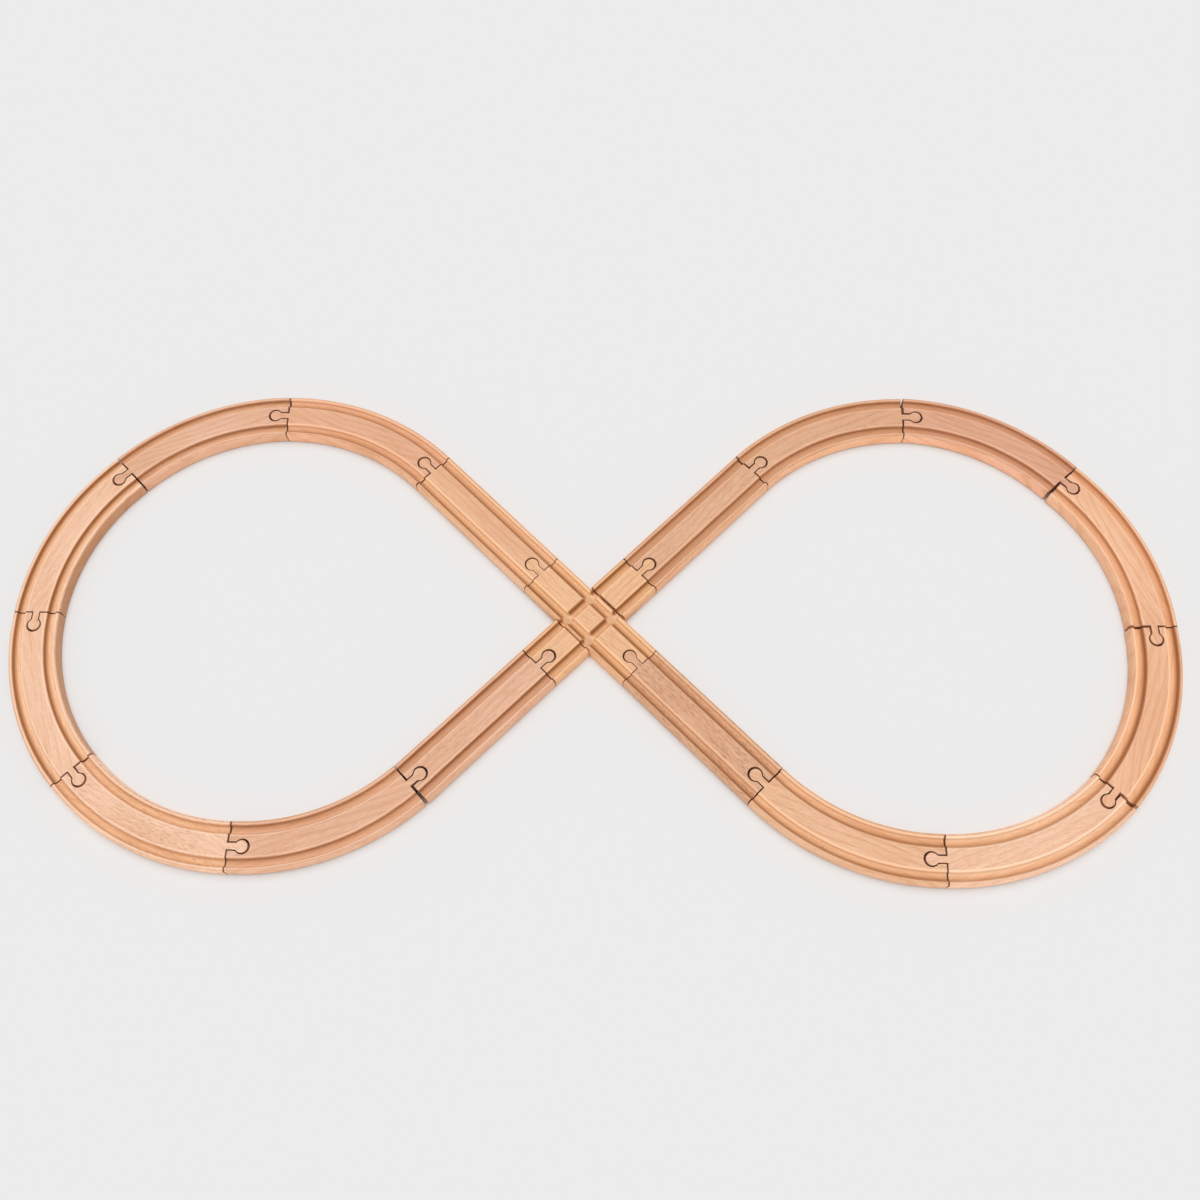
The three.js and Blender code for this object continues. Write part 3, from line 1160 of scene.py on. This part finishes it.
    def groove_shadow(self, line: Signal, middle: float) -> Signal:
        """Work out the painted shadow at a spot: most on the shadowed walls, and fading across the groove.

        Args:
            line: Way to the left of the centre line, in millimetres.
            middle: Distance of a groove's middle from the centre line.

        Returns:
            The share of painted shadow.
        """
        light_shade_and_scuff, walls = self.finish.light_shade_and_scuff, self.finish.walls
        fade = light_shade_and_scuff.edge_fade if walls.over_edge else light_shade_and_scuff.wall_fade
        within = self.within(line, middle)
        found = []
        for way in (within * sign for sign in walls.signs):
            found.append(self.smooth(way, *light_shade_and_scuff.shadow_rise) * self.smooth(way, *fade) * self.finish.shadow_share)
        return found[0] if len(found) == 1 else self.math("MAXIMUM", *found)

    def within(self, line: Signal, middle: float) -> Signal:
        """Return how far a spot lies to the left of the middle of the groove on its own side."""
        return line - (self.smooth(line, -0.5, 0.5) * 2.0 - 1.0) * middle

    def unshadowed(self, line: Signal, middle: float) -> Operand:
        """Return the walls painted lit: those opposite the walls painted in shadow, or none."""
        if self.finish.walls is ShadowWalls.BOTH:
            return 0.0
        light_shade_and_scuff = self.finish.light_shade_and_scuff
        way = self.within(line, middle) * -self.finish.walls.signs[0]
        return self.smooth(way, *light_shade_and_scuff.lit_wall_rise) * self.smooth(way, *light_shade_and_scuff.lit_wall_fade)


Dressed = tuple[TrackPiece, BeechFinish]


@dataclass
class TrainTrack:
    """The whole track: the crossing and the two loops, each piece with the finish of its board.

    A finish gives the board, its seed, its share of flecks, how strongly the groove floors and one
    wall of each groove are painted in shadow, which walls take that painted shadow, and how the
    sides are painted lit or in shade.
    """

    layout: Layout
    seam_right: float = 0.9
    seam_left: float = 0.3
    left_swivels: tuple[float, ...] = (0, -0.5, 1, -1, 0, -1, -1, 2.5, 0)
    right_swivels: tuple[float, ...] = (0, -1, -3, 3, 2.5, -3, 1, 0.5, 0)
    finishes: ClassVar[dict[Turn, list[BeechFinish]]] = {
        Turn.STRAIGHT: [
            BeechFinish(Board.STRAW, 1.0, 1.0, 0.20, 0.95, ShadowWalls.LEFT_AND_EDGE),
            BeechFinish(Board.STRAW, 2.0, 1.0, 0.40, 0.90),
            BeechFinish(Board.STRAW, 3.0, 1.0, 0.40, 0.85),
        ],
        Turn.LEFT: [
            BeechFinish(Board.HONEY, 4.0, 0.7, 0.05, 0.75, ShadowWalls.LEFT_AND_EDGE, TintAndLight.PALE_SIDE),
            BeechFinish(Board.COPPER, 5.0, 0.6, 0.10, 0.60, ShadowWalls.LEFT_AND_EDGE, TintAndLight.PALE_SIDE),
            BeechFinish(Board.ROSE, 6.0, 0.7, 0.15, 0.65, ShadowWalls.RIGHT),
            BeechFinish(Board.SAND, 7.0, 0.9, 0.15, 0.95, ShadowWalls.RIGHT, TintAndLight.DIM_SIDE),
            BeechFinish(Board.SAND, 8.0, 0.6, 0.00, 0.90, ShadowWalls.RIGHT, TintAndLight.DIM_SIDE),
            BeechFinish(Board.SAND, 9.0, 1.6, 0.05, 0.25, ShadowWalls.BOTH),
            BeechFinish(Board.ROSE, 10.0, 0.8, 0.30, 0.50),
            BeechFinish(Board.ROSE, 11.0, 1.3, 0.60, 0.75),
        ],
        Turn.RIGHT: [
            BeechFinish(Board.TAN, 24.0, 0.8, 0.60, 0.45, side=TintAndLight.LIT_SIDE),
            BeechFinish(Board.TAN, 25.0, 0.6, 0.45, 0.40, side=TintAndLight.LIT_SIDE),
            BeechFinish(Board.BLUSH, 26.0, 0.5, 0.45, 0.40, side=TintAndLight.LIT_SIDE),
            BeechFinish(Board.AMBER, 27.0, 0.8, 0.25, 0.45),
            BeechFinish(Board.AMBER, 28.0, 0.6, 0.05, 0.85, ShadowWalls.LEFT_AND_EDGE),
            BeechFinish(Board.SAND, 29.0, 1.0, 0.10, 0.50, ShadowWalls.LEFT_AND_EDGE),
            BeechFinish(Board.HONEY, 30.0, 0.9, 0.05, 0.70, ShadowWalls.LEFT_AND_EDGE),
            BeechFinish(Board.TAN, 31.0, 1.8, 0.20, 0.75, ShadowWalls.LEFT_AND_EDGE),
        ],
    }

    def pieces(self) -> list[Dressed]:
        """Return every piece with its finish: the crossing, the left loop and the right loop."""
        layout = self.layout
        left = Loop("left", Turn.LEFT, math.pi, self.left_swivels, layout)
        right = Loop("right", Turn.RIGHT, math.pi / 2, self.right_swivels, layout)
        return self.crossing() + self.loop(left) + self.loop(right)

    def ends(self, swivel: float = 0.0) -> dict[str, np.ndarray]:
        """Return the outlines of a piece's peg and of its socket, whose joint has a swivel."""
        fit = self.layout.fit
        return {"peg": fit.peg(), "socket": fit.socket(swivel, self.layout.section.half_width)}

    def crossing(self) -> list[Dressed]:
        """Return the through bar and the two arms, whose inner ends stand off by their seams."""
        layout, section, ends = self.layout, self.layout.section, self.ends()
        reach = layout.crossing_half
        inner = section.half_width + layout.seam_clearance
        arm = reach - inner
        bar = CrossingBar("crossing_through_bar", "crossing", Place(reach, 0.0, math.pi), section,
                          layout.crossing_length, **ends)
        upper = Place(0.0, inner + self.seam_right, math.pi / 2)
        right = TrackPiece("crossing_right_arm", "crossing", upper, section, arm - self.seam_right,
                           start=End.PLAIN, rows=2, **ends)
        lower = Place(0.0, -reach, math.pi / 2)
        left = TrackPiece("crossing_left_arm", "crossing", lower, section, arm - self.seam_left,
                          finish=End.PLAIN, rows=2, **ends)
        return list(zip((bar, right, left), self.finishes[Turn.STRAIGHT]))

    def loop(self, loop: Loop) -> list[Dressed]:
        """Return the pieces of a loop with their finishes, in the order in which they are laid."""
        layout, section = self.layout, self.layout.section
        swivels = loop.settled()
        starts = loop.lay(swivels)[0]
        arc = layout.curve_radius * layout.curve_angle
        straights = {0: "straight_out", len(starts) - 1: "straight_back"}
        made = []
        for index, start in enumerate(starts):
            node = f"{loop.name}_{straights.get(index, f'curve_{index}')}"
            if index in straights:
                shape = {"length": layout.straight_length, "rows": 2}
            else:
                shape = {"length": arc, "turn": loop.turn, "radius": layout.curve_radius}
            ends = self.ends(swivels[index])
            made.append(TrackPiece(f"{node}_board", node, start, section, **shape, **ends))
        return list(zip(made, self.finishes[loop.turn]))


@dataclass(frozen=True)
class Sun:
    """A broad, distant lamp.

    Its level is its share of the light on level ground. Its elevation above the horizon, its bearing
    from the photograph's near side and its spread, which softens shadows, are in degrees.
    """

    name: str
    level: float
    elevation: float
    bearing: float
    spread: float
    colour: tuple[float, float, float] = (1.02, 1.0, 0.98)

    def build(self, turn: float) -> bpy.types.Object:
        """Hang the lamp, with its bearing turned by the photograph's own turn."""
        data = bpy.data.lights.new(self.name, "SUN")
        data.angle = math.radians(self.spread)
        data.color = self.colour
        data.energy = self.level * math.pi / math.sin(math.radians(self.elevation))
        light = in_scene(self.name, data)
        tilt = math.radians(90.0 - self.elevation)
        light.rotation_euler = (tilt, 0.0, turn + math.radians(self.bearing))
        return light


@dataclass(frozen=True)
class Studio:
    """Camera, light and floor. Places are in metres; the camera's own are in the photograph's plan."""

    track: bpy.types.Collection
    photo_turn: float = math.pi / 4
    camera_at: tuple[float, float, float] = (0.03157, -0.36948, 0.92522)
    camera_turn: tuple[float, float, float] = (-22.929, 1.307, 0.322)
    camera_clip: Span = (0.05, 20.0)
    focal_pixels: float = 1174.6
    image_pixels: float = 1200.0
    sensor: float = 36.0
    overhead: Sun = Sun("overhead", 0.42, 76.0, 180.0, 45.0)
    front: Sun = Sun("front", 0.045, 8.0, 0.0, 40.0)
    sky: float = 0.57
    sky_colour: Colour = (0.985, 1.0, 1.015, 1.0)
    backdrop_colour: Colour = srgb(236, 236, 236)
    floor_colour: Colour = srgb(237, 237, 237)
    # Painted shadow: the floor's colour in narrow gaps under the joints.
    gap_shadow_colour: Colour = srgb(40, 34, 30)
    floor_half: float = 20.0
    floor_drop: float = 0.0002
    floor_roughness: float = 0.9
    floor_glow: float = 0.4
    gap_reach: float = 0.006
    gap_samples: int = 8
    gap_shadow_rise: Span = (0.35, 0.10)
    glow_rise: Span = (0.35, 0.85)

    def build(self) -> None:
        """Add the camera, the lights, the world and the floor."""
        self.camera()
        self.lights()
        self.world()
        self.floor()

    def camera(self) -> None:
        """Set the camera: a straight-down view turned by a rotation vector, as fitted to the photograph."""
        axis = Vector(math.radians(angle) for angle in self.camera_turn)
        swing = Matrix.Rotation(axis.length, 3, axis.normalized())
        down = Matrix(((1, 0, 0), (0, -1, 0), (0, 0, -1)))
        right, below, forward = swing @ down
        to_frame = Matrix.Rotation(self.photo_turn, 3, "Z")
        axes = Matrix((to_frame @ right, to_frame @ -below, to_frame @ -forward)).transposed()
        data = bpy.data.cameras.new("photo_camera")
        data.sensor_width = self.sensor
        data.lens = self.focal_pixels * self.sensor / self.image_pixels
        data.clip_start, data.clip_end = self.camera_clip
        camera = in_scene("photo_camera", data)
        camera.matrix_world = Matrix.Translation(to_frame @ Vector(self.camera_at)) @ axes.to_4x4()
        bpy.context.scene.camera = camera

    def lights(self) -> None:
        """Light the table by a broad sun overhead, and the track alone by a weak one low in front."""
        bpy.context.scene.view_settings.view_transform = "Standard"
        self.overhead.build(self.photo_turn)
        front = self.front.build(self.photo_turn)
        front.light_linking.receiver_collection = self.track

    def world(self) -> None:
        """Make the sky, which lights the table at its own level and is seen as a pale backdrop."""
        shader = Shader(bpy.data.worlds.new("studio"))
        sky = shader.tree.nodes["Background"]
        shader.feed(sky, {"Color": self.sky_colour, "Strength": self.sky})
        backdrop = shader.node("ShaderNodeBackground", None, {"Color": self.backdrop_colour})
        shader.show(shader.seen(), shader.out(sky), shader.out(backdrop), "World Output")
        bpy.context.scene.world = shader.owner

    def floor(self) -> None:
        """Lay a plain pale floor just under the track, which glows a little for the camera and is painted
        dark as shade in narrow gaps.
        """
        corners = np.array([[-1, -1, 0], [1, -1, 0], [1, 1, 0], [-1, 1, 0]]) * self.floor_half
        mesh = bpy.data.meshes.new("table")
        mesh.from_pydata(corners - np.array([0.0, 0.0, self.floor_drop]), [], [[0, 1, 2, 3]])
        shader = Shader(bpy.data.materials.new("pale_table"))
        around = shader.node("ShaderNodeAmbientOcclusion", {"samples": self.gap_samples},
                             {"Distance": self.gap_reach})
        open_sky = shader.out(around, "AO")
        # Painted shadow: the floor turns dark where little sky reaches it, in narrow gaps.
        gap = shader.smooth(open_sky, *self.gap_shadow_rise)
        plain = shader.tree.nodes["Principled BSDF"]
        shader.feed(plain, {
            "Base Color": shader.blend(gap, self.floor_colour, self.gap_shadow_colour),
            "Roughness": self.floor_roughness,
            "Specular IOR Level": 0.0,
        })
        glow = shader.node("ShaderNodeEmission", None, {"Color": self.backdrop_colour, "Strength": 1.0})
        share = shader.seen() * shader.smooth(open_sky, *self.glow_rise) * self.floor_glow
        shader.show(share, shader.out(plain), shader.out(glow), "Material Output")
        mesh.materials.append(shader.owner)
        in_scene("table", mesh)


def node_of(piece: TrackPiece) -> str:
    """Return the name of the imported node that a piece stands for."""
    own = {
        "crossing_through_bar": "crossing_bar",
        "crossing_right_arm": "crossing_arm_right",
        "crossing_left_arm": "crossing_arm_left",
    }
    return own.get(piece.name, piece.body)


def stand_for(made: bpy.types.Object, body: str, node: str) -> None:
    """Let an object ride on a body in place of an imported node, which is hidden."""
    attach(made, body)
    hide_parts(node)
    LOG.info("%s stands for %s", made.name, node)


def main() -> None:
    """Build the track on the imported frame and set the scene."""
    logging.basicConfig(level=logging.INFO, format="%(message)s")
    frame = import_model()
    slots = {part["node"]: part["material_slot"] for part in frame["record"]["subparts"]}
    track = TrainTrack(Layout(Section(), PegFit()))
    lit = bpy.data.collections.new("track")
    for piece, finish in track.pieces():
        made = piece.build()
        lit.objects.link(made)
        finish.apply(made, piece.grain_angle(), piece)
        node = node_of(piece)
        stand_for(made, piece.body, node)
    for node in (name for name in slots if "dowel" in name):
        low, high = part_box(node)
        pin = Dowel(node + "_fluted", tuple((np.array(low) + np.array(high)) / 2 / MM)).build()
        BeechFinish(Board.SAND, 40.0).apply(pin, math.pi / 2)
        stand_for(pin, "crossing", node)
    Studio(lit).build()
    bpy.context.view_layer.update()


if __name__ == "__main__":
    main()
